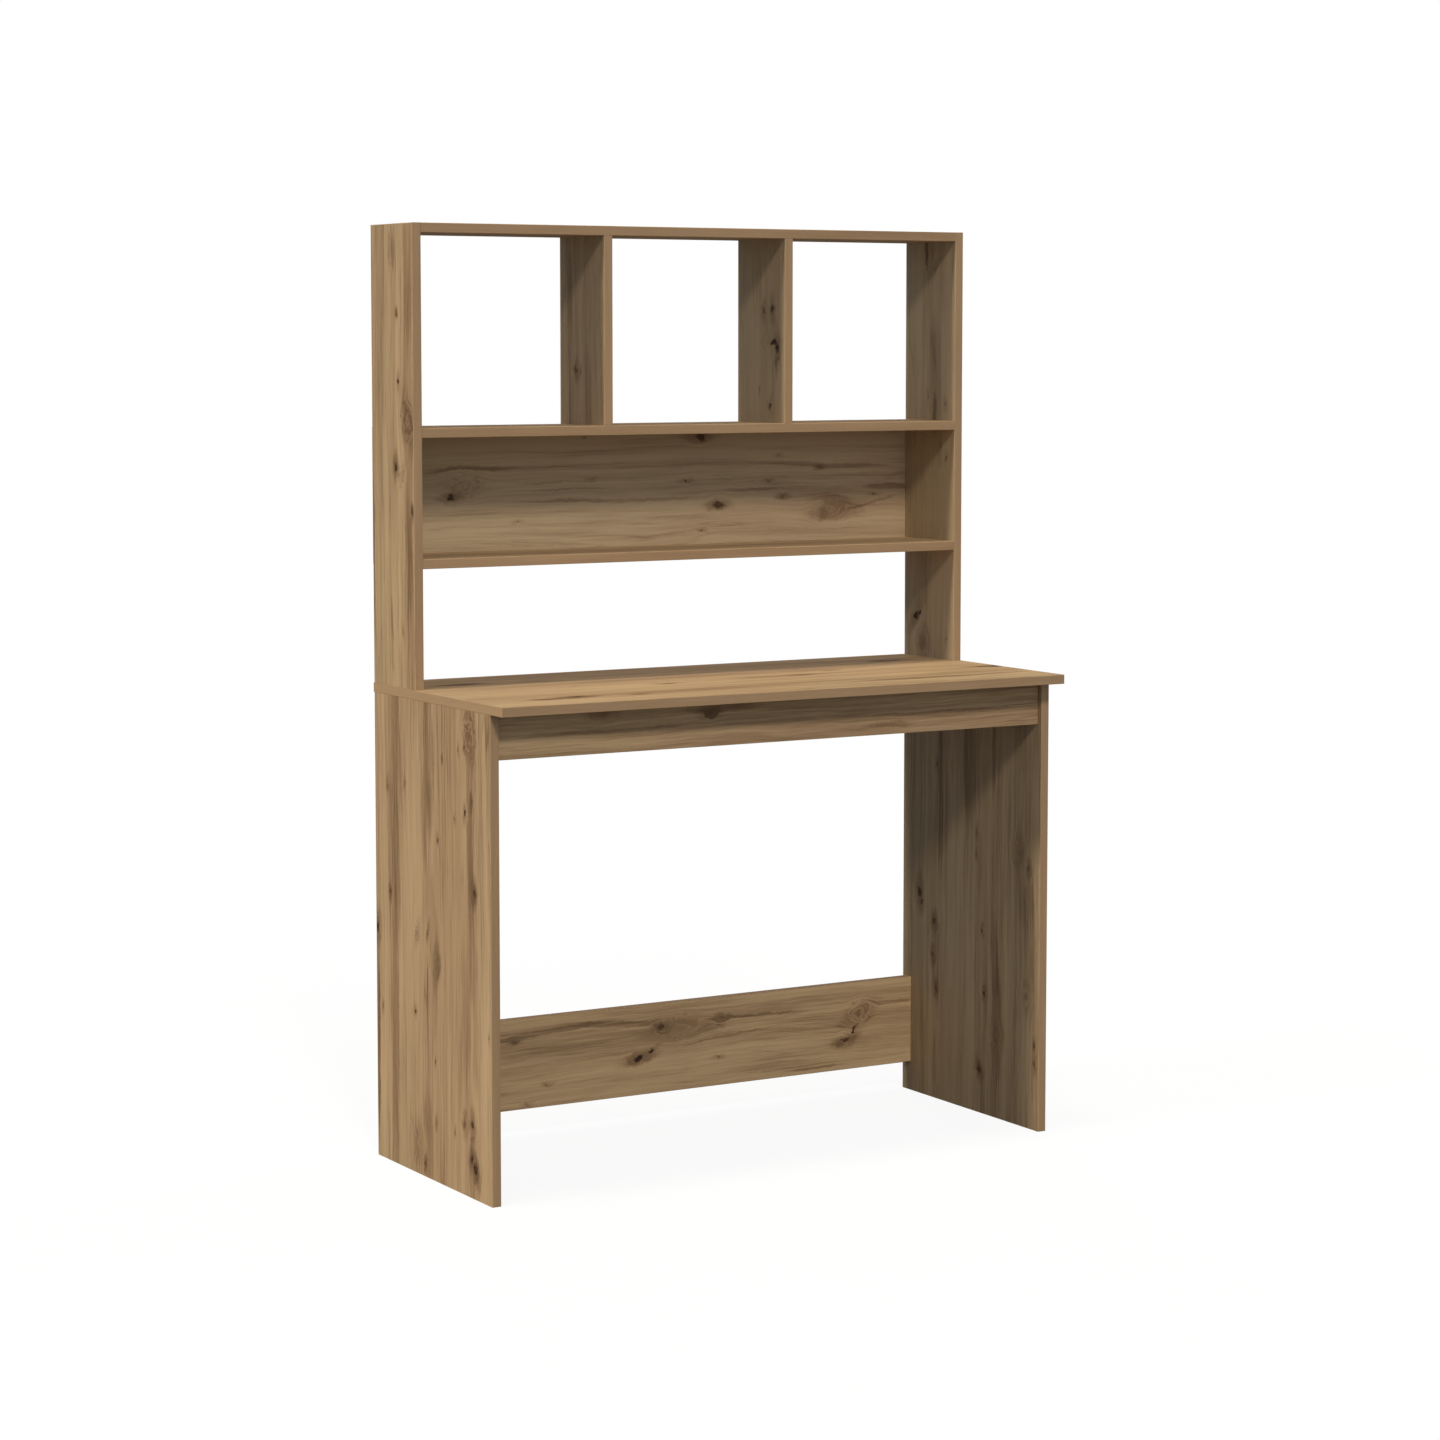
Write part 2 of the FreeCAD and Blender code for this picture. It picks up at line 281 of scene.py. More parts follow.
def make_knot_group():
    """One knot. It winds the grain round itself, pushes it aside further out and darkens the print."""
    tree, n, given, result = new_group(
        "oak knot",
        vectors=("Place", "Centre", "Along", "Across"),
        numbers=("Radius", "Break", "Grain", "Core", "Halo", "Bend", "Core strength", "Halo strength",
                 "Ring strength"),
        results=("Grain", "Core", "Halo"))
    offset = n.vector("SUBTRACT", given["Place"], given["Centre"])
    along = n.vector("DOT_PRODUCT", offset, given["Along"], result="Value")
    across = n.vector("DOT_PRODUCT", offset, given["Across"], result="Value")
    distance = n.vector("LENGTH", n.join(along, across), result="Value")
    push = n.math("MULTIPLY", n.fade(distance, *KNOT_PUSH), given["Bend"])
    sideways = n.vector("DOT_PRODUCT", offset, (0.0, 1.0, 0.0), result="Value")
    near = n.fade(distance, *KNOT_WIND)
    wind = n.math("MULTIPLY", near, n.math("MULTIPLY", distance, given["Radius"]))
    shift = n.math("SUBTRACT", n.math("MULTIPLY", wind, given["Bend"]), n.math("MULTIPLY", push, sideways))
    n.feed(result["Grain"], n.math("ADD", given["Grain"], shift))
    core = n.math("MULTIPLY", n.fade(distance, *KNOT_CORE), given["Core strength"])
    n.feed(result["Core"], n.math("MAXIMUM", given["Core"], core))
    drawn_out = n.join(n.math("MULTIPLY", along, HALO_DRAWN_OUT), across)
    halo = n.fade(n.vector("LENGTH", drawn_out, result="Value"), *KNOT_HALO)
    halo = n.math("MULTIPLY", halo, given["Halo strength"])
    turn = n.math("MULTIPLY_ADD", distance, RING_TURN, n.math("MULTIPLY", given["Break"], RING_RAGGED))
    rings = n.math("MULTIPLY", n.fade(n.math("SINE", turn), *RING_SHOWS), n.fade(distance, *KNOT_RINGS))
    rings = n.math("MULTIPLY", rings, given["Ring strength"])
    n.feed(result["Halo"], n.math("MAXIMUM", given["Halo"], n.math("MAXIMUM", halo, rings)))
    return tree


def make_streak_and_painted_light_group():
    """One long streak with crisp flanks and soft ends; a few broad ones are painted shade and painted light.
    Its strength adds to the shade, or takes from it.
    """
    tree, n, given, result = new_group(
        "oak streak",
        vectors=("Place", "Centre", "Along", "Across"),
        numbers=("Shade", "Strength"),
        results=("Shade",))
    offset = n.vector("SUBTRACT", given["Place"], given["Centre"])
    along = n.math("ABSOLUTE", n.vector("DOT_PRODUCT", offset, given["Along"], result="Value"))
    across = n.math("ABSOLUTE", n.vector("DOT_PRODUCT", offset, given["Across"], result="Value"))
    reach = n.math("MULTIPLY_ADD", n.math("MULTIPLY", along, along), STREAK_TAPER, across)
    body = n.math("MULTIPLY", n.fade(reach, *STREAK_FLANKS), n.fade(along, *STREAK_ENDS))
    n.feed(result["Shade"], n.math("MULTIPLY_ADD", body, given["Strength"], given["Shade"]))
    return tree


KNOT_GROUP = make_knot_group()
STREAK_AND_PAINTED_LIGHT_GROUP = make_streak_and_painted_light_group()


def knot(along, across, radius, stretch=1.6, core=0.9, halo=0.5, ring=0.0, bend=1.0, tilt=0.0):
    """A knot: where it lies along and across the grain, half its breadth, and its length over its breadth."""
    return dict(place=(along, across), radius=radius, stretch=stretch, core=core, halo=halo, ring=ring,
                bend=bend, tilt=math.radians(tilt))


def pin(along, across, radius=0.0026, core=0.7):
    """A pin knot, too small to bend the grain much."""
    return knot(along, across, radius, stretch=1.5, core=core, halo=0.35, bend=0.5)


def streak_and_painted_light(along, across, breadth, length, dark=0.3, tilt=0.0):
    """A long streak, darker than the wood round it, or lighter where dark is below zero. The broad bands
    marked in the table are painted shade and painted light.
    """
    return dict(place=(along, across), breadth=breadth, length=length, dark=dark, tilt=math.radians(tilt))


# How much lighter than the average a piece's print is, and how much more olive. Strips use only the first.
# On the back panel, the right base side, the dividers and the right hutch side, which face mostly into shade,
# the lift is painted light against that shade and its warm bounce.
NO_SHIFT = (0.0, 0.0)
PRINT_AND_PAINTED_LIGHT_SHIFTS = {
    # Painted light: lifts and cools the shade on the back panel.
    "back_panel": (0.07, 0.12),
    # Painted light: cools and lifts the shade on the inner face of the right base side.
    "base_side_right": (0.02, 0.08),
    "desktop_left_band": (0.45, 0.0),
    # Painted light: lifts and cools the shade on both dividers.
    "divider_left": (0.05, 0.09),
    "divider_right": (0.24, 0.10),
    "divider_right_front_band": (0.20, 0.0),
    "front_apron": (-0.10, 0.0),
    # Painted light: lifts and cools the shade on the inner face of the right hutch side.
    "hutch_side_right": (0.17, 0.13),
}

# What shows on each board's face, in metres along and across its grain: the print's knots and streaks, and a
# few broad bands of painted shade and painted light, marked where they stand
MARKS = {
    "base_side_left": [
        streak_and_painted_light(0.600, 0.143, 0.028, 0.70, 0.24),
        streak_and_painted_light(0.200, 0.150, 0.016, 0.70, 0.15),
        streak_and_painted_light(0.400, 0.158, 0.040, 1.20, 0.10),
        streak_and_painted_light(0.690, 0.026, 0.034, 0.40, 0.34),
        streak_and_painted_light(0.560, 0.040, 0.040, 0.22, 0.16),
        streak_and_painted_light(0.640, -0.114, 0.036, 0.50, 0.30),
        streak_and_painted_light(0.500, -0.112, 0.020, 0.30, 0.16),
        streak_and_painted_light(0.400, -0.120, 0.032, 0.30, 0.22),
        streak_and_painted_light(0.420, 0.026, 0.028, 0.24, 0.20),
        streak_and_painted_light(0.340, 0.010, 0.022, 0.13, 0.16, tilt=-6),
        streak_and_painted_light(0.190, 0.034, 0.040, 0.46, 0.20),
        streak_and_painted_light(0.270, 0.038, 0.007, 0.22, 0.24),
        streak_and_painted_light(0.040, 0.040, 0.070, 0.24, 0.18),
        streak_and_painted_light(0.170, 0.217, 0.016, 0.46, 0.55),
        streak_and_painted_light(0.400, 0.210, 0.010, 0.90, 0.14),
        streak_and_painted_light(0.260, -0.100, 0.100, 0.34, 0.10),
        streak_and_painted_light(0.240, -0.128, 0.014, 0.22, 0.16),
        streak_and_painted_light(0.040, -0.126, 0.034, 0.22, 0.26),
        streak_and_painted_light(0.500, 0.095, 0.060, 0.90, -0.08),
        streak_and_painted_light(0.300, -0.030, 0.050, 0.70, -0.10),
        streak_and_painted_light(0.400, -0.165, 0.020, 0.80, -0.10),
        knot(0.706, -0.112, 0.0105, 1.7, core=0.25, halo=0.35, ring=0.9, bend=1.3, tilt=12),
        knot(0.688, -0.098, 0.0045, 1.1, core=0.55, halo=0.5, bend=0.6),
        pin(0.683, -0.076, 0.0036, 0.40),
        knot(0.607, -0.119, 0.0044, 1.4, core=0.65, halo=0.5),
        knot(0.587, -0.097, 0.0050, 1.4, core=0.85, halo=0.5),
        knot(0.469, -0.128, 0.0056, 1.5, core=1.0, halo=0.65),
        knot(0.433, 0.169, 0.0042, 1.6, core=0.80, halo=0.5),
        knot(0.372, 0.217, 0.0075, 1.5, core=1.0, halo=0.6),
        knot(0.380, 0.073, 0.0062, 1.7, core=0.35, halo=0.35, ring=0.6, tilt=-20),
        knot(0.388, 0.034, 0.0036, 2.2, core=0.40, halo=0.4, tilt=-15),
        knot(0.340, 0.002, 0.0090, 1.3, core=0.05, halo=0.20, ring=0.30, bend=0.9),
        knot(0.110, -0.092, 0.0068, 1.2, core=0.60, halo=0.45, ring=0.5, bend=1.2),
        knot(0.113, -0.117, 0.0072, 1.5, core=0.85, halo=0.5, ring=0.4, bend=1.2),
        knot(0.060, -0.115, 0.0070, 1.2, core=1.0, halo=0.5),
        knot(0.046, -0.127, 0.0090, 1.4, core=1.0, halo=0.5, tilt=20),
        knot(0.046, 0.075, 0.0130, 1.1, core=0.0, halo=0.28, bend=0.6),
        knot(0.021, 0.048, 0.0052, 1.2, core=0.60, halo=0.5),
        knot(0.093, 0.008, 0.0050, 1.0, core=0.15, halo=0.5),
        knot(0.257, 0.080, 0.0048, 1.0, core=0.95, halo=0.4),
        knot(0.537, -0.003, 0.0046, 0.9, core=0.80, halo=0.35),
        pin(0.243, 0.200, 0.0040, 0.50),
        pin(0.604, 0.176, 0.0040, 0.25),
        pin(0.610, 0.115, 0.0040, 0.25),
        pin(0.662, -0.019, 0.0026, 0.45),
        pin(0.574, -0.062, 0.0034, 0.35),
        pin(0.188, 0.009),
        pin(0.256, -0.175, 0.0030, 0.50),
        pin(0.091, -0.058, 0.0030, 0.45),
    ],
    "base_side_right": [
        streak_and_painted_light(0.540, 0.112, 0.016, 0.40, 0.34),
        streak_and_painted_light(0.590, 0.024, 0.044, 0.30, 0.28),
        streak_and_painted_light(0.610, -0.050, 0.012, 0.20, 0.26),
        streak_and_painted_light(0.440, -0.150, 0.060, 0.30, 0.14),
        streak_and_painted_light(0.300, -0.158, 0.034, 0.34, 0.26),
        streak_and_painted_light(0.150, -0.064, 0.036, 0.28, 0.20),
        streak_and_painted_light(0.040, -0.062, 0.036, 0.20, 0.20),
        streak_and_painted_light(0.260, -0.060, 0.020, 0.22, 0.22),
        streak_and_painted_light(0.070, 0.126, 0.008, 0.18, 0.22),
        streak_and_painted_light(0.230, 0.122, 0.020, 0.22, 0.20),
        streak_and_painted_light(0.420, -0.012, 0.012, 0.18, 0.20),
        streak_and_painted_light(0.330, 0.060, 0.070, 0.60, -0.10),
        streak_and_painted_light(0.300, -0.100, 0.030, 0.60, -0.10),
        streak_and_painted_light(0.140, -0.110, 0.110, 0.50, -0.14),
        pin(0.579, 0.120, 0.0040, 0.55),
        knot(0.352, 0.171, 0.0080, 1.5, core=0.85, halo=0.6),
        knot(0.334, 0.166, 0.0060, 1.3, core=0.80, halo=0.5),
        knot(0.307, 0.125, 0.0070, 1.1, core=0.65, halo=0.5),
        knot(0.249, 0.129, 0.0055, 1.3, core=0.45, halo=0.5),
        knot(0.192, 0.119, 0.0055, 1.3, core=0.55, halo=0.5),
        knot(0.218, -0.146, 0.0100, 1.1, core=0.25, halo=0.35, bend=0.8),
        knot(0.206, -0.024, 0.0052, 1.1, core=0.90, halo=0.45),
        knot(0.312, -0.018, 0.0042, 1.1, core=0.60, halo=0.45),
        knot(0.074, -0.012, 0.0072, 1.1, core=0.75, halo=0.5, tilt=20),
        knot(0.460, -0.124, 0.0110, 1.1, core=0.10, halo=0.22, bend=0.8),
        knot(0.434, -0.151, 0.0055, 1.2, core=0.40, halo=0.35),
        knot(0.140, -0.060, 0.0110, 1.3, core=0.15, halo=0.3, ring=0.3, bend=0.8),
        pin(0.475, -0.001, 0.0040, 0.30),
        pin(0.142, -0.171, 0.0034, 0.80),
        pin(0.110, -0.171, 0.0040, 0.60),
        pin(0.440, 0.001, 0.0032, 0.30),
    ],
    "rear_rail": [
        streak_and_painted_light(-0.230, 0.175, 0.010, 0.36, 0.28, tilt=3.5),
        streak_and_painted_light(-0.090, 0.175, 0.012, 0.28, 0.24, tilt=-6),
        streak_and_painted_light(-0.420, 0.165, 0.010, 0.24, 0.38, tilt=2),
        streak_and_painted_light(0.200, 0.160, 0.006, 0.22, 0.42, tilt=-2),
        streak_and_painted_light(0.130, 0.163, 0.006, 0.12, 0.34),
        streak_and_painted_light(0.450, 0.160, 0.008, 0.14, 0.34, tilt=3),
        streak_and_painted_light(0.440, 0.090, 0.034, 0.34, 0.18),
        streak_and_painted_light(0.220, 0.066, 0.014, 0.26, 0.20),
        streak_and_painted_light(0.300, 0.054, 0.006, 0.16, 0.34),
        streak_and_painted_light(0.100, 0.141, 0.007, 0.26, -0.20, tilt=2),
        streak_and_painted_light(0.230, 0.133, 0.005, 0.24, -0.16, tilt=-3),
        streak_and_painted_light(0.120, 0.130, 0.005, 0.30, 0.22, tilt=3),
        streak_and_painted_light(0.100, 0.115, 0.090, 1.30, 0.10),
        knot(-0.004, 0.160, 0.0066, 1.2, core=0.85, halo=0.55),
        knot(0.034, 0.156, 0.0120, 2.2, core=0.0, halo=0.42, ring=0.35, bend=0.8),
        knot(-0.046, 0.112, 0.0078, 1.7, core=1.0, halo=0.6, tilt=12),
        knot(-0.022, 0.121, 0.0040, 2.0, core=0.90, halo=0.4, tilt=30),
        knot(-0.278, 0.163, 0.0045, 1.2, core=0.60, halo=0.5),
        knot(0.113, 0.165, 0.0050, 1.4, core=0.35, halo=0.6),
        pin(0.110, 0.152, 0.0030, 0.40),
        knot(0.388, 0.146, 0.0110, 1.3, core=0.20, halo=0.40, ring=0.60, bend=1.3, tilt=25),
        knot(0.378, 0.118, 0.0030, 4.0, core=1.0, halo=0.35, tilt=58, bend=0.4),
        knot(0.362, 0.101, 0.0072, 1.4, core=1.0, halo=0.65, tilt=15),
        pin(0.352, 0.102, 0.0030, 0.80),
        pin(0.107, 0.098, 0.0034, 0.50),
        pin(-0.218, 0.086, 0.0034, 0.35),
        pin(-0.255, 0.056, 0.0034, 0.35),
    ],
    "desktop": [
        streak_and_painted_light(0.290, -0.150, 0.026, 0.32, 0.40),
        streak_and_painted_light(0.450, -0.142, 0.014, 0.14, 0.34),
        streak_and_painted_light(-0.380, -0.150, 0.020, 0.14, 0.30),
        streak_and_painted_light(0.100, -0.012, 0.032, 0.24, 0.20),
        streak_and_painted_light(0.000, -0.140, 0.050, 0.90, 0.12),
        streak_and_painted_light(-0.410, 0.120, 0.026, 0.14, 0.30),
        streak_and_painted_light(0.400, 0.135, 0.026, 0.14, 0.30),
        streak_and_painted_light(0.490, -0.040, 0.020, 0.12, 0.36),
        streak_and_painted_light(0.000, 0.050, 0.040, 0.90, 0.10),
        # Painted shadow: this broad dark band runs the whole width of the desktop's rear strip, under the
        # shelf unit, where the unit shades it.
        streak_and_painted_light(0.000, 0.165, 0.170, 4.00, 0.11),
        streak_and_painted_light(0.100, -0.085, 0.040, 1.00, -0.12),
        streak_and_painted_light(-0.300, -0.020, 0.030, 0.50, -0.10),
        streak_and_painted_light(0.225, 0.030, 0.016, 0.06, 0.36),
        knot(-0.342, -0.140, 0.0095, 1.5, core=1.0, halo=0.65),
        knot(-0.395, -0.147, 0.0060, 1.7, core=0.45, halo=0.6),
        knot(-0.237, -0.150, 0.0045, 1.6, core=0.60, halo=0.6),
        knot(-0.118, -0.028, 0.0072, 1.5, core=0.75, halo=0.6),
        knot(-0.405, 0.122, 0.0070, 1.6, core=0.60, halo=0.6),
        knot(0.390, 0.128, 0.0070, 1.6, core=0.60, halo=0.6),
        knot(0.140, -0.012, 0.0060, 1.6, core=0.10, halo=0.35),
        knot(0.498, -0.045, 0.0080, 1.4, core=0.90, halo=0.7),
        pin(-0.265, 0.010),
    ],
    "front_apron": [
        knot(-0.313, 0.737, 0.0080, 1.4, core=0.20, halo=0.45),
        knot(-0.124, 0.726, 0.0065, 1.2, core=0.45, halo=0.45, ring=0.2),
        streak_and_painted_light(-0.100, 0.734, 0.014, 0.18, 0.32),
        streak_and_painted_light(0.210, 0.692, 0.010, 0.12, 0.34),
        streak_and_painted_light(-0.300, 0.712, 0.006, 0.40, 0.18),
        streak_and_painted_light(0.300, 0.704, 0.005, 0.50, 0.22, tilt=-1),
    ],
    "hutch_side_left": [
        streak_and_painted_light(1.150, 0.088, 0.040, 0.70, 0.27),
        streak_and_painted_light(0.860, 0.090, 0.036, 0.50, 0.26),
        streak_and_painted_light(1.400, 0.088, 0.040, 0.30, 0.18),
        streak_and_painted_light(0.830, 0.151, 0.009, 0.20, 0.34),
        streak_and_painted_light(1.440, 0.140, 0.010, 0.08, 0.34),
        streak_and_painted_light(1.440, 0.152, 0.008, 0.08, 0.26),
        streak_and_painted_light(0.900, 0.124, 0.008, 0.20, -0.24),
        streak_and_painted_light(1.000, 0.175, 0.030, 0.60, -0.12),
        streak_and_painted_light(1.120, 0.218, 0.010, 0.80, 0.24),
        knot(1.342, 0.131, 0.0042, 1.0, core=0.70, halo=0.5),
        knot(1.236, 0.125, 0.0050, 1.3, core=0.90, halo=0.5),
        knot(1.103, 0.137, 0.0075, 1.2, core=0.90, halo=0.6, ring=0.3, bend=1.3),
        knot(1.090, 0.116, 0.0070, 1.5, core=0.0, halo=0.25, ring=0.5, bend=0.9, tilt=-30),
        knot(1.035, 0.078, 0.0046, 1.3, core=0.85, halo=0.5),
        knot(1.175, 0.092, 0.0120, 1.6, core=0.10, halo=0.28, ring=0.65, bend=1.1, tilt=15),
        pin(0.848, 0.113, 0.0038, 0.35),
    ],
    "divider_left": [
        knot(1.252, 0.168, 0.0060, 1.2, core=0.60, halo=0.55),
        pin(1.250, 0.152, 0.0034, 0.30),
        streak_and_painted_light(1.215, 0.132, 0.030, 0.20, 0.20),
        streak_and_painted_light(1.300, 0.136, 0.012, 0.40, 0.14),
        streak_and_painted_light(1.380, 0.187, 0.020, 0.20, 0.22),
    ],
    "divider_right": [
        knot(1.348, 0.139, 0.0070, 1.0, core=0.55, halo=0.5),
        knot(1.352, 0.112, 0.0070, 1.4, core=0.75, halo=0.55),
        knot(1.296, 0.108, 0.0150, 0.40, core=1.0, halo=0.2),
        knot(1.287, 0.097, 0.0075, 1.6, core=1.0, halo=0.6),
        knot(1.193, 0.118, 0.0060, 1.0, core=0.70, halo=0.5),
        pin(1.219, 0.153, 0.0034, 0.40),
        streak_and_painted_light(1.235, 0.113, 0.010, 0.16, 0.26),
        streak_and_painted_light(1.260, 0.102, 0.006, 0.08, 0.34),
        streak_and_painted_light(1.320, 0.125, 0.040, 0.12, 0.14),
        streak_and_painted_light(1.400, 0.160, 0.030, 0.14, 0.14),
    ],
    "hutch_side_right": [
        streak_and_painted_light(1.450, 0.159, 0.010, 0.08, 0.60),
        streak_and_painted_light(1.180, 0.139, 0.011, 0.08, 0.40),
        streak_and_painted_light(1.240, 0.138, 0.036, 0.28, 0.26),
        streak_and_painted_light(1.300, 0.140, 0.008, 0.14, 0.12),
        streak_and_painted_light(1.110, 0.122, 0.014, 0.08, 0.30),
        streak_and_painted_light(1.030, 0.186, 0.050, 0.20, 0.14),
        # Painted light: this broad lighter patch fills the face between the two shelves and lifts the shade
        # of that compartment.
        streak_and_painted_light(1.060, 0.150, 0.130, 0.24, -0.20),
        streak_and_painted_light(0.895, 0.172, 0.044, 0.20, 0.26),
        streak_and_painted_light(0.788, 0.168, 0.030, 0.08, 0.28),
        streak_and_painted_light(0.860, 0.138, 0.030, 0.26, -0.12),
        knot(1.421, 0.134, 0.0055, 1.5, core=0.15, halo=0.30, tilt=-40),
        knot(1.193, 0.102, 0.0046, 1.1, core=0.45, halo=0.4),
        pin(1.204, 0.153, 0.0040, 0.30),
        knot(1.102, 0.098, 0.0040, 1.2, core=0.55, halo=0.45),
        knot(0.829, 0.187, 0.0105, 1.2, core=1.0, halo=0.7, tilt=-35),
        knot(0.836, 0.176, 0.0050, 1.4, core=1.0, halo=0.4, tilt=-35),
        knot(0.782, 0.166, 0.0110, 1.7, core=0.30, halo=0.45, ring=0.50, bend=1.2),
        pin(0.797, 0.094, 0.0036, 0.35),
    ],
    "back_panel": [
        streak_and_painted_light(-0.340, 1.093, 0.010, 0.22, 0.40),
        streak_and_painted_light(0.000, 1.092, 0.013, 0.70, 0.20, tilt=-1),
        streak_and_painted_light(0.340, 1.083, 0.010, 0.40, 0.28, tilt=-2),
        streak_and_painted_light(-0.080, 1.037, 0.006, 0.44, 0.38),
        streak_and_painted_light(-0.180, 1.067, 0.003, 0.24, 0.32),
        streak_and_painted_light(-0.180, 1.056, 0.003, 0.24, 0.32),
        streak_and_painted_light(0.320, 1.035, 0.032, 0.30, 0.24, tilt=-4),
        streak_and_painted_light(0.360, 1.015, 0.028, 0.16, 0.22, tilt=-14),
        streak_and_painted_light(0.460, 1.046, 0.012, 0.14, 0.44),
        streak_and_painted_light(0.430, 1.020, 0.005, 0.16, 0.34, tilt=12),
        streak_and_painted_light(0.180, 1.044, 0.008, 0.16, 0.24),
        streak_and_painted_light(0.120, 1.045, 0.032, 0.36, 0.16),
        # Painted light: a lighter streak along the top of the back panel, just under the upper shelf, lifts
        # the shade there.
        streak_and_painted_light(-0.100, 1.138, 0.036, 1.20, -0.14),
        streak_and_painted_light(-0.220, 0.970, 0.006, 0.30, 0.26),
        streak_and_painted_light(0.100, 0.984, 0.004, 0.34, 0.22, tilt=3),
        streak_and_painted_light(0.090, 1.141, 0.020, 0.20, 0.22),
        # Painted light: these two full-width lighter bands lift the shade under the upper shelf and the
        # darker strip just above the lower shelf.
        streak_and_painted_light(0.000, 1.124, 0.060, 2.00, -0.24),
        streak_and_painted_light(0.000, 0.985, 0.050, 2.00, -0.10),
        knot(-0.374, 1.050, 0.0070, 1.2, core=0.90, halo=0.6, ring=0.3),
        knot(-0.352, 1.067, 0.0110, 1.8, core=0.0, halo=0.2, ring=0.35, bend=1.2),
        knot(0.088, 1.140, 0.0085, 1.6, core=0.80, halo=0.65),
        knot(0.122, 1.026, 0.0078, 1.2, core=0.85, halo=0.85, ring=0.5, bend=1.4),
        knot(0.059, 1.068, 0.0038, 1.5, core=0.85, halo=0.5),
        knot(0.320, 1.008, 0.0090, 1.3, core=0.22, halo=0.45, ring=0.25),
        knot(0.346, 1.014, 0.0110, 1.5, core=0.06, halo=0.26, ring=0.2),
        knot(0.248, 1.038, 0.0042, 1.5, core=0.45, halo=0.4),
        pin(0.238, 1.107, 0.0034, 0.35),
        pin(0.320, 1.085, 0.0034, 0.30),
        pin(0.430, 1.038, 0.0040, 0.50),
        pin(-0.133, 1.141, 0.0036, 0.45),
        pin(0.220, 1.066, 0.0030, 0.35),
        pin(-0.118, 1.074, 0.0030, 0.35),
        pin(-0.253, 1.007, 0.0030, 0.40),
        pin(0.092, 0.985, 0.0026, 0.50),
    ],
}

# A board's seed moves its noise by these steps, and its hidden face's print is slid by a share of its length
SEED_STEPS = (3.1, 1.7, 2.3)
HIDDEN_SLIDE = 0.37

# What bends the print's lines: waves along and across the grain, and how far each moves a line
WANDER_WAVES = (1.9, 4.2, 0.0)
WANDER_REACH = 0.030
QUIVER_WAVES = (13.0, 30.0, 0.0)
QUIVER_REACH = 0.008

# What frays the marks: waves along and across the grain, and how far it moves knots and streaks
RAGGED_WAVES = (75.0, 105.0, 0.0)
RAGGED_KNOTS = (0.020, 0.015, 0.0)
RAGGED_STREAKS = (0.040, 0.007, 0.0)

# The print's noises: waves along and across the grain, detail, shift and roughness
LINES = {
    "broad": (0.9, 19.0, 2.0, 11.0, 0.55),
    "narrow": (2.6, 80.0, 3.0, 23.0, 0.55),
    "fine": (6.0, 230.0, 3.0, 29.0, 0.65),
    "fibres": (16.0, 620.0, 3.0, 37.0, 0.65),
    "pores": (60.0, 1500.0, 2.0, 51.0, 0.55),
    "tint": (1.1, 6.0, 1.0, 67.0, 0.55),
    "growth": (1.5, 34.0, 1.0, 83.0, 0.55),
    "figure": (2.0, 9.0, 1.0, 97.0, 0.55),
}

# Growth rings are a noise's contour lines: how many there are, how broad, and where the figure shows them
CONTOURS = 7.0
CONTOUR_BREADTH = 0.10
FIGURE_SHOWS = (0.42, 0.66)

# Where in their noise the pores show
PORES_SHOW = (0.60, 0.72)

# The print's tone, from 0 for dark to 1 for light: its average, and how strongly each noise moves it
OAK_TONE = 0.62
BROAD_WEIGHT = 0.90
NARROW_WEIGHT = 0.95
FINE_WEIGHT = 0.95
FIBRES_WEIGHT = 0.55

# What darkens the tone. Streaks, with the bands of painted shade and light among them, and halos do it by the
# lines under them, and by a share of their own.
RING_SHADE = 0.22
PORE_SHADE = 0.10
STREAK_SHADE = (0.9, 0.62)
HALO_SHADE = (1.5, 0.05)

# The colour at each tone, and how the pink and olive tints and the knots' brown and black fade in over it
OAK_RAMP = ((0.0, OAK_DARK), (0.32, OAK_BROWN), (0.60, OAK_MIDDLE), (0.95, OAK_LIGHT))
PINK_FADE = dict(start=0.50, end=0.72, at_end=0.24)
OLIVE_FADE = dict(start=0.48, end=0.30, at_end=0.24)
BROWN_FADE = dict(start=0.0, end=0.9, at_end=0.95)
BLACK_FADE = dict(start=0.62, end=1.05)
BLACK_BREAKS = dict(start=0.36, end=0.56, at_start=0.20)

# How rough the print is, and how much the fibres and the wandering lines add
OAK_ROUGHNESS = 0.46
FIBRES_ROUGHEN = 0.16
WANDER_ROUGHENS = 0.10

# How far fibres stand up, and how far pores and knots sink in, as shares of the relief
FIBRES_RISE = 0.5
PORES_SINK = 0.6
KNOTS_SINK = 0.5

# Chipboard: waves per metre of its particles and specks, each one's share of the tone, and where it shows
CHIP_PARTICLES = (260.0, 260.0, 420.0)
CHIP_SPECKS = (900.0, 900.0, 1300.0)
PARTICLE_SHARE = 0.5
SPECK_SHARE = 0.6
RAW_FADE = (0.6, 0.4)

# Edge strips: the average tone, and how far a strip's seed moves its noise
STRIP_TONE = 0.5
STRIP_STEP = 3.7

# The worn line along a strip's long corners: how far in it begins and is full, where it shows, and how much
WORN_FROM = 0.0011
WORN_TO = 0.0003
WORN_SHOWS = (0.40, 0.60)
WORN_SHARE = 0.35


def new_material(name):
    """An empty material with a shader joined to its output. Returns it, its nodes and the shader."""
    material = bpy.data.materials.new(name)
    material.use_nodes = True
    tree = material.node_tree
    tree.nodes.clear()
    nodes = Nodes(tree)
    shader = nodes.add("BsdfPrincipled")
    output = nodes.add("OutputMaterial")
    tree.links.new(shader.outputs[0], output.inputs["Surface"])
    return material, nodes, shader


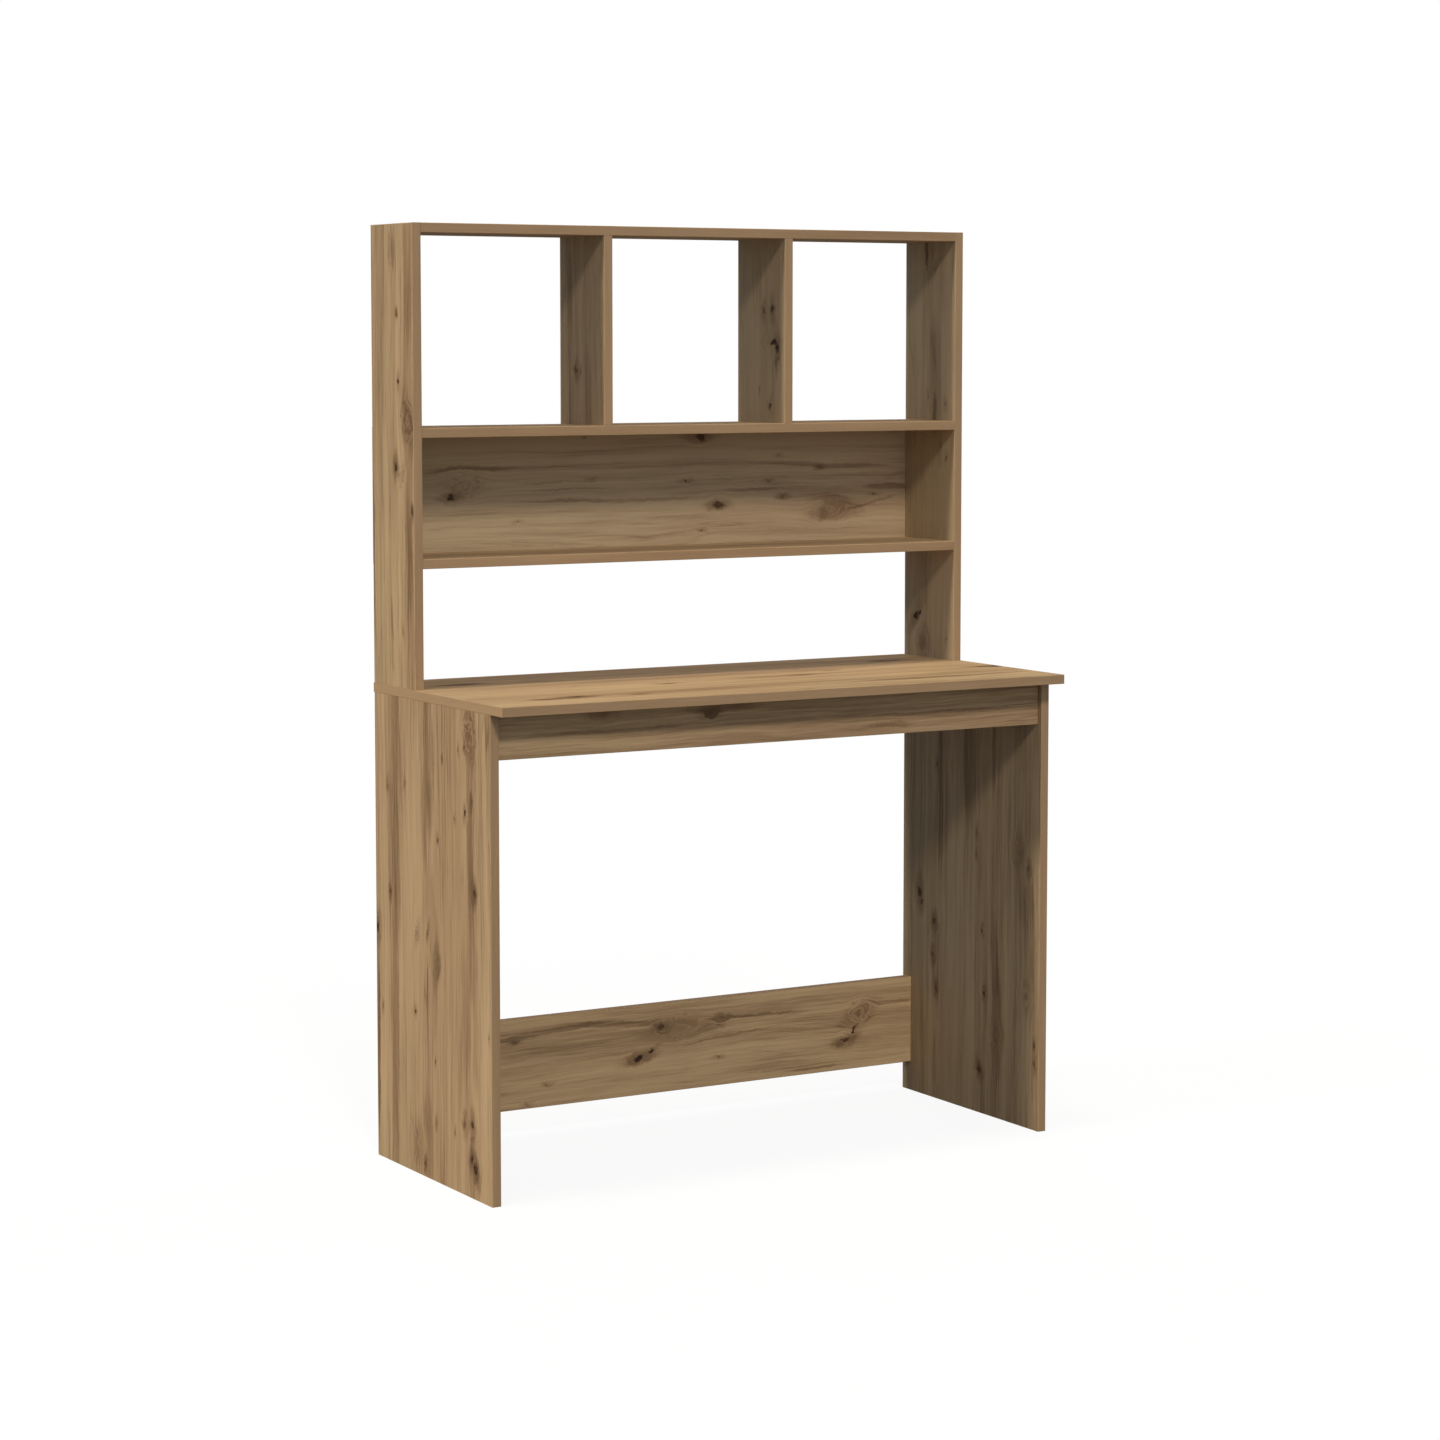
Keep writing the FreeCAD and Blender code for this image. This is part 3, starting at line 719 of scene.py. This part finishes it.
def find_node(material, kind):
    """The first node of one kind in a material."""
    return next(item for item in material.node_tree.nodes if item.type == kind)


def finish(nodes, shader, colour, roughness, height, relief, mirror=PLAIN_MIRROR, metallic=0.0):
    """Joins the worked-out colour, roughness and height to the shader."""
    nodes.feed(shader.inputs["Base Color"], colour)
    nodes.feed(shader.inputs["Roughness"], roughness)
    shader.inputs["Specular IOR Level"].default_value = mirror
    shader.inputs["Metallic"].default_value = metallic
    bump = nodes.add("Bump")
    bump.inputs["Strength"].default_value = 1.0
    bump.inputs["Distance"].default_value = relief
    nodes.feed(bump.inputs["Height"], height)
    nodes.feed(shader.inputs["Normal"], bump.outputs[0])


def chipboard(n, place):
    """The colour and height of pressed wood particles, seen on raw edges and inside the bores."""
    spread = n.vector("MULTIPLY", place, CHIP_PARTICLES)
    cells = n.add("TexVoronoi")
    n.feed(cells.inputs["Vector"], spread)
    cells.inputs["Scale"].default_value = 1.0
    specks = n.noise(n.vector("MULTIPLY", place, CHIP_SPECKS), detail=3.0)
    tone = n.math("MULTIPLY", n.split(cells.outputs["Color"])[0], PARTICLE_SHARE)
    tone = n.math("MULTIPLY_ADD", specks, SPECK_SHARE, tone, clamp=True)
    return n.mix(tone, linear(CHIP_DARK), linear(CHIP_LIGHT)), cells.outputs["Distance"]


def board_coordinates(n, node, place):
    """Where a point lies along and across a board's grain, and the axis that runs through the board.

    The grain runs up the upright boards and along the others. The hidden face has the same print, mirrored.
    """
    low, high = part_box(node)
    size = high - low
    through = min(range(3), key=lambda axis: size[axis])
    along_axis = 2 if through == 0 else 0
    across_axis = 3 - through - along_axis
    axes = n.split(place)
    middle = (low + high) / 2
    hidden = n.math("LESS_THAN" if through == 2 else "GREATER_THAN", axes[through], middle[through])
    turned = []
    for axis, slide in ((along_axis, HIDDEN_SLIDE), (across_axis, 0.0)):
        mirrored = n.math("MULTIPLY_ADD", axes[axis], -2.0, 2 * middle[axis] + slide * size[axis])
        turned.append(n.math("MULTIPLY_ADD", hidden, mirrored, axes[axis]))
    return (*turned, through)


def add_knots(n, marks, place, ragged, grain):
    """Bends the grain round a board's knots. Returns it with the knots' cores and halos."""
    core, halo = 0.0, 0.0
    for mark in marks:
        if "radius" in mark:
            cos, sin = math.cos(mark["tilt"]), math.sin(mark["tilt"])
            radius, stretch = mark["radius"], mark["stretch"]
            results = n.group(KNOT_GROUP, {
                "Place": place,
                "Centre": (*mark["place"], 0.0),
                "Along": (cos / radius / stretch, sin / radius / stretch, 0.0),
                "Across": (-sin / radius, cos / radius, 0.0),
                "Radius": radius,
                "Break": ragged,
                "Grain": grain,
                "Core": core,
                "Halo": halo,
                "Bend": mark["bend"],
                "Core strength": mark["core"],
                "Halo strength": mark["halo"],
                "Ring strength": mark["ring"],
            })
            grain, core, halo = results["Grain"], results["Core"], results["Halo"]
    return grain, core, halo


def add_streaks_and_painted_light(n, marks, place):
    """How much a board's streaks, and its bands of painted shade and light, darken a point."""
    shade = 0.0
    for mark in marks:
        if "breadth" in mark:
            cos, sin = math.cos(mark["tilt"]), math.sin(mark["tilt"])
            half, reach = mark["breadth"] / 2, mark["length"] / 2
            shade = n.group(STREAK_AND_PAINTED_LIGHT_GROUP, {
                "Place": place,
                "Centre": (*mark["place"], 0.0),
                "Along": (cos / reach, sin / reach, 0.0),
                "Across": (-sin / half, cos / half, 0.0),
                "Shade": shade,
                "Strength": mark["dark"],
            })["Shade"]
    return shade


def oak(node, seed):
    """Printed oak on one board, with the painted light and shade that some boards' shifts and broad bands
    carry.
    """
    material, n, shader = new_material("oak_" + node)
    lighter, olive = PRINT_AND_PAINTED_LIGHT_SHIFTS.get(node, NO_SHIFT)
    marks = MARKS.get(node, ())
    offset = tuple(seed * step for step in SEED_STEPS)
    place = n.place()
    along, across, through = board_coordinates(n, node, place)
    flat = n.join(along, across)

    # The grain coordinate runs across the lines, which wander and bend round the knots
    wander = n.noise(n.vector("MULTIPLY_ADD", flat, WANDER_WAVES, offset), detail=1.0)
    quiver = n.noise(n.vector("MULTIPLY_ADD", flat, QUIVER_WAVES, offset), detail=2.0)
    grain = n.vary(across, wander, WANDER_REACH)
    grain = n.vary(grain, quiver, QUIVER_REACH)
    ragged = n.vector("MULTIPLY_ADD", flat, RAGGED_WAVES, offset)
    ragged = n.noise(ragged, detail=4.0, roughness=0.62, result="Color")
    break_up = n.split(ragged)[2]
    ragged = n.vector("SUBTRACT", ragged, (NOISE_MEAN, NOISE_MEAN, NOISE_MEAN))
    knot_place = n.vector("MULTIPLY_ADD", ragged, RAGGED_KNOTS, flat)
    grain, core, halo = add_knots(n, marks, knot_place, break_up, grain)
    streak_place = n.vector("MULTIPLY_ADD", ragged, RAGGED_STREAKS, n.join(along, grain))
    shade = add_streaks_and_painted_light(n, marks, streak_place)

    # Lines of several breadths, all drawn out along the grain
    def lines(kind):
        along_waves, across_waves, detail, shift, roughness = LINES[kind]
        stretched = n.join(n.math("MULTIPLY", along, along_waves), n.math("MULTIPLY", grain, across_waves))
        moved = n.vector("ADD", stretched, tuple(value + shift for value in offset))
        return n.noise(moved, detail, roughness)

    broad = lines("broad")
    narrow = lines("narrow")
    fine = lines("fine")
    fibres = lines("fibres")
    pores = lines("pores")
    tint = n.math("SUBTRACT", lines("tint"), olive)
    contour = n.math("PINGPONG", n.math("MULTIPLY", lines("growth"), CONTOURS), 0.5)
    rings = n.math("MULTIPLY", n.fade(contour, CONTOUR_BREADTH, 0.0), n.fade(lines("figure"), *FIGURE_SHOWS))
    pore_marks = n.fade(pores, *PORES_SHOW)

    # All of them move one tone, which the ramp turns into colour
    tone = OAK_TONE + lighter
    for noise, weight in ((broad, BROAD_WEIGHT), (narrow, NARROW_WEIGHT), (fine, FINE_WEIGHT),
                          (fibres, FIBRES_WEIGHT)):
        tone = n.vary(tone, noise, weight)
    tone = n.math("MULTIPLY_ADD", rings, -RING_SHADE, tone)
    for dark, noise, weights in ((shade, narrow, STREAK_SHADE), (halo, fine, HALO_SHADE)):
        darker = n.math("MULTIPLY", dark, n.math("MULTIPLY_ADD", noise, *weights))
        tone = n.math("SUBTRACT", tone, darker)
    tone = n.math("MULTIPLY_ADD", pore_marks, -PORE_SHADE, tone)
    colour = n.ramp(tone, [(stop, toward_olive(shown, olive)) for stop, shown in OAK_RAMP])
    colour = n.mix(n.fade(tint, **PINK_FADE), colour, linear(OAK_PINK))
    colour = n.mix(n.fade(tint, **OLIVE_FADE), colour, linear(OAK_OLIVE))
    colour = n.mix(n.fade(core, **BROWN_FADE), colour, linear(KNOT_BROWN))
    charred = n.math("MULTIPLY", n.fade(core, **BLACK_FADE), n.fade(break_up, **BLACK_BREAKS))
    colour = n.mix(charred, colour, linear(KNOT_BLACK))

    # Edges that carry no strip, and bores, show the chipboard
    raw = n.fade(n.math("ABSOLUTE", n.facing(through)), *RAW_FADE)
    raw_colour, raw_height = chipboard(n, place)
    colour = n.mix(raw, colour, raw_colour)

    rough = n.math("MULTIPLY_ADD", fibres, FIBRES_ROUGHEN, OAK_ROUGHNESS)
    rough = n.math("MULTIPLY_ADD", wander, WANDER_ROUGHENS, rough)
    height = n.math("MULTIPLY_ADD", fibres, FIBRES_RISE, n.math("MULTIPLY", pore_marks, -PORES_SINK))
    height = n.math("MULTIPLY_ADD", core, -KNOTS_SINK, height)
    height = n.mix(raw, height, raw_height)
    finish(n, shader, colour, rough, height, OAK_RELIEF, mirror=OAK_MIRROR)
    return material


def edge_strip(node, seed):
    """The plain wood print of a glued edge strip, a little lighter where its long corners are rubbed."""
    material, n, shader = new_material("strip_" + node)
    lighter = PRINT_AND_PAINTED_LIGHT_SHIFTS.get(node, NO_SHIFT)[0]
    low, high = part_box(node)
    size = high - low
    along_axis = max(range(3), key=lambda axis: size[axis])
    thin_axis = min(range(3), key=lambda axis: size[axis])
    across_axis = 3 - along_axis - thin_axis
    axes = n.split(n.place())
    along, across, through = axes[along_axis], axes[across_axis], axes[thin_axis]

    def lines(along_waves, across_waves, detail, shift):
        place = n.join(n.math("MULTIPLY_ADD", along, along_waves, seed * STRIP_STEP + shift),
                       n.math("MULTIPLY", across, across_waves), n.math("MULTIPLY", through, across_waves))
        return n.noise(place, detail, roughness=0.55)

    broad = lines(3.0, 60.0, detail=2.0, shift=5.0)
    fine = lines(14.0, 520.0, detail=3.0, shift=19.0)
    patches = lines(1.3, 4.0, detail=1.0, shift=31.0)
    tone = n.vary(STRIP_TONE + lighter, broad, weight=1.3)
    tone = n.vary(tone, fine, weight=0.9)
    tone = n.vary(tone, patches, weight=0.9, clamp=True)
    colour = n.mix(tone, linear(STRIP_DARK), linear(STRIP_LIGHT))
    middle = (low[across_axis] + high[across_axis]) / 2
    reach = n.math("ABSOLUTE", n.math("SUBTRACT", across, middle))
    half = size[across_axis] / 2
    worn = n.math("MULTIPLY", n.fade(reach, half - WORN_FROM, half - WORN_TO), n.fade(fine, *WORN_SHOWS))
    colour = n.mix(n.math("MULTIPLY", worn, WORN_SHARE), colour, linear(CHIP_LIGHT))
    rough = n.math("MULTIPLY_ADD", fine, *STRIP_ROUGHNESS)
    finish(n, shader, colour, rough, fine, STRIP_RELIEF)
    return material


def fibre_face(material):
    """Gives a board's rear face bare pressed fibre in place of the print."""
    n = Nodes(material.node_tree)
    shader = find_node(material, "BSDF_PRINCIPLED")
    printed = shader.inputs["Base Color"].links[0].from_socket
    place = n.place()
    blotch = n.even_noise(place, waves=40.0, detail=4.0, roughness=0.65)
    grit = n.even_noise(place, waves=240.0, detail=4.0, roughness=0.7)
    fleck = n.even_noise(place, waves=900.0, detail=3.0, roughness=0.6)
    tone = n.vary(fleck, blotch, weight=1.1)
    tone = n.vary(tone, grit, weight=1.8, clamp=True)
    fibre = n.mix(tone, linear(FIBRE_DARK), linear(FIBRE_LIGHT))
    rearward = n.fade(n.facing(1), start=0.4, end=0.6)
    n.feed(shader.inputs["Base Color"], n.mix(rearward, printed, fibre))


def metal(name, colour, roughness, waves):
    """Plated metal with fine tool marks and a few dull patches."""
    material, n, shader = new_material(name)
    place = n.place()
    fine = n.noise(n.vector("MULTIPLY", place, (waves, waves, waves * 4)), detail=3.0, roughness=0.6)
    dull = n.even_noise(place, waves=160.0)
    darker = tuple(value * 0.7 for value in colour)
    tint = n.mix(n.fade(dull, start=0.35, end=0.7, at_end=0.35), linear(colour), linear(darker))
    rough = n.math("MULTIPLY_ADD", fine, TOOL_MARKS_ROUGHEN, roughness)
    finish(n, shader, tint, rough, fine, METAL_RELIEF, mirror=METAL_MIRROR, metallic=METAL_SHARE)
    return material


def dowel_wood():
    """Pale turned hardwood."""
    material, n, shader = new_material("dowel_wood")
    fine = n.even_noise(n.place(), waves=700.0, detail=4.0, roughness=0.6)
    colour = n.mix(fine, linear(DOWEL_DARK), linear(DOWEL_LIGHT))
    rough = n.math("MULTIPLY_ADD", fine, *DOWEL_ROUGHNESS)
    finish(n, shader, colour, rough, fine, DOWEL_RELIEF)
    return material


def dress(node, material):
    """Puts one material on a node of the model."""
    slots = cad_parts[node].data.materials
    if not slots:
        slots.append(material)
    for index in range(len(slots)):
        slots[index] = material


def dress_all():
    """Gives every node of the model its finish."""
    draw = random.Random(SEED)
    zinc = metal("zinc", ZINC, roughness=0.34, waves=900.0)
    steel = metal("steel", STEEL, roughness=0.28, waves=1400.0)
    dowel = dowel_wood()
    for node in sorted(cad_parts):
        seed = draw.uniform(*SEED_RANGE)
        if node.endswith("_band"):
            dress(node, edge_strip(node, seed))
        elif node.startswith("cam_locks"):
            dress(node, zinc)
        elif node.startswith("dowels"):
            dress(node, dowel)
        elif node.startswith("cam_bolts") or node.endswith("screws") or node.endswith("nails"):
            dress(node, steel)
        else:
            material = oak(node, seed)
            if node == "back_panel":
                fibre_face(material)
            dress(node, material)


def make_floor():
    """A pale floor that fades into the white backdrop. It throws back only a little of the light."""
    bpy.ops.mesh.primitive_circle_add(vertices=FLOOR_SIDES, radius=FLOOR_RADIUS, fill_type="NGON")
    floor = bpy.context.object
    floor.name = "floor"
    material, n, shader = new_material("pale_floor")
    place = n.place()
    mottle = n.even_noise(place, waves=3.0, detail=3.0)
    seen = n.add("LightPath").outputs["Is Camera Ray"]
    share = n.math("MULTIPLY_ADD", seen, FLOOR_WHITE - FLOOR_RETURN, FLOOR_RETURN)
    share = n.math("MULTIPLY", share, n.math("MULTIPLY_ADD", mottle, *FLOOR_MOTTLE))
    n.feed(shader.inputs["Base Color"], n.join(share, share, share))
    shader.inputs["Roughness"].default_value = FLOOR_ROUGHNESS
    shader.inputs["Specular IOR Level"].default_value = 0.0
    glow = n.glow("Emission", WHITE, BACKDROP_WHITE)
    distance = n.vector("LENGTH", place, result="Value")
    glowing = n.math("MULTIPLY", seen, n.fade(distance, **FLOOR_GLOW))
    output = find_node(material, "OUTPUT_MATERIAL")
    n.feed(output.inputs["Surface"], n.blend(glowing, shader.outputs[0], glow))
    floor.data.materials.append(material)


def make_world():
    """A white backdrop. It lights the object only as a soft fill, and shiny faces mirror it as a grey."""
    world = bpy.data.worlds.new("studio")
    bpy.context.scene.world = world
    world.use_nodes = True
    tree = world.node_tree
    tree.nodes.clear()
    n = Nodes(tree)
    shader = n.glow("Background", AMBIENT_COLOUR, AMBIENT_STRENGTH)
    light = n.add("LightPath").outputs
    for ray, strength in (("Is Glossy Ray", MIRRORED_GREY), ("Is Camera Ray", BACKDROP_WHITE)):
        shader = n.blend(light[ray], shader, n.glow("Background", WHITE, strength))
    n.feed(n.add("OutputWorld").inputs["Surface"], shader)


def make_lights():
    """The far lights round the object."""
    for name, settings in LIGHTS.items():
        light = bpy.data.lights.new(name, "SUN")
        light.energy = settings["strength"]
        light.color = settings["colour"]
        light.angle = math.radians(settings["spread"])
        lamp = bpy.data.objects.new(name, light)
        lamp.rotation_euler = Vector(settings["direction"]).to_track_quat("-Z", "Y").to_euler()
        lamp.visible_glossy = settings.get("mirrored", True)
        bpy.context.scene.collection.objects.link(lamp)


def make_camera():
    """The camera at the photograph's place."""
    data = bpy.data.cameras.new("camera")
    data.lens = CAMERA_LENS
    data.sensor_width = CAMERA_SENSOR
    data.shift_y = CAMERA_SHIFT
    data.clip_end = CAMERA_REACH
    camera = bpy.data.objects.new("camera", data)
    camera.location = CAMERA_PLACE
    camera.rotation_euler = (math.pi / 2 + CAMERA_TILT, 0.0, CAMERA_TURN)
    bpy.context.scene.collection.objects.link(camera)
    bpy.context.scene.camera = camera


dress_all()
make_floor()
make_world()
make_lights()
make_camera()
bpy.context.scene.view_settings.view_transform = "Standard"
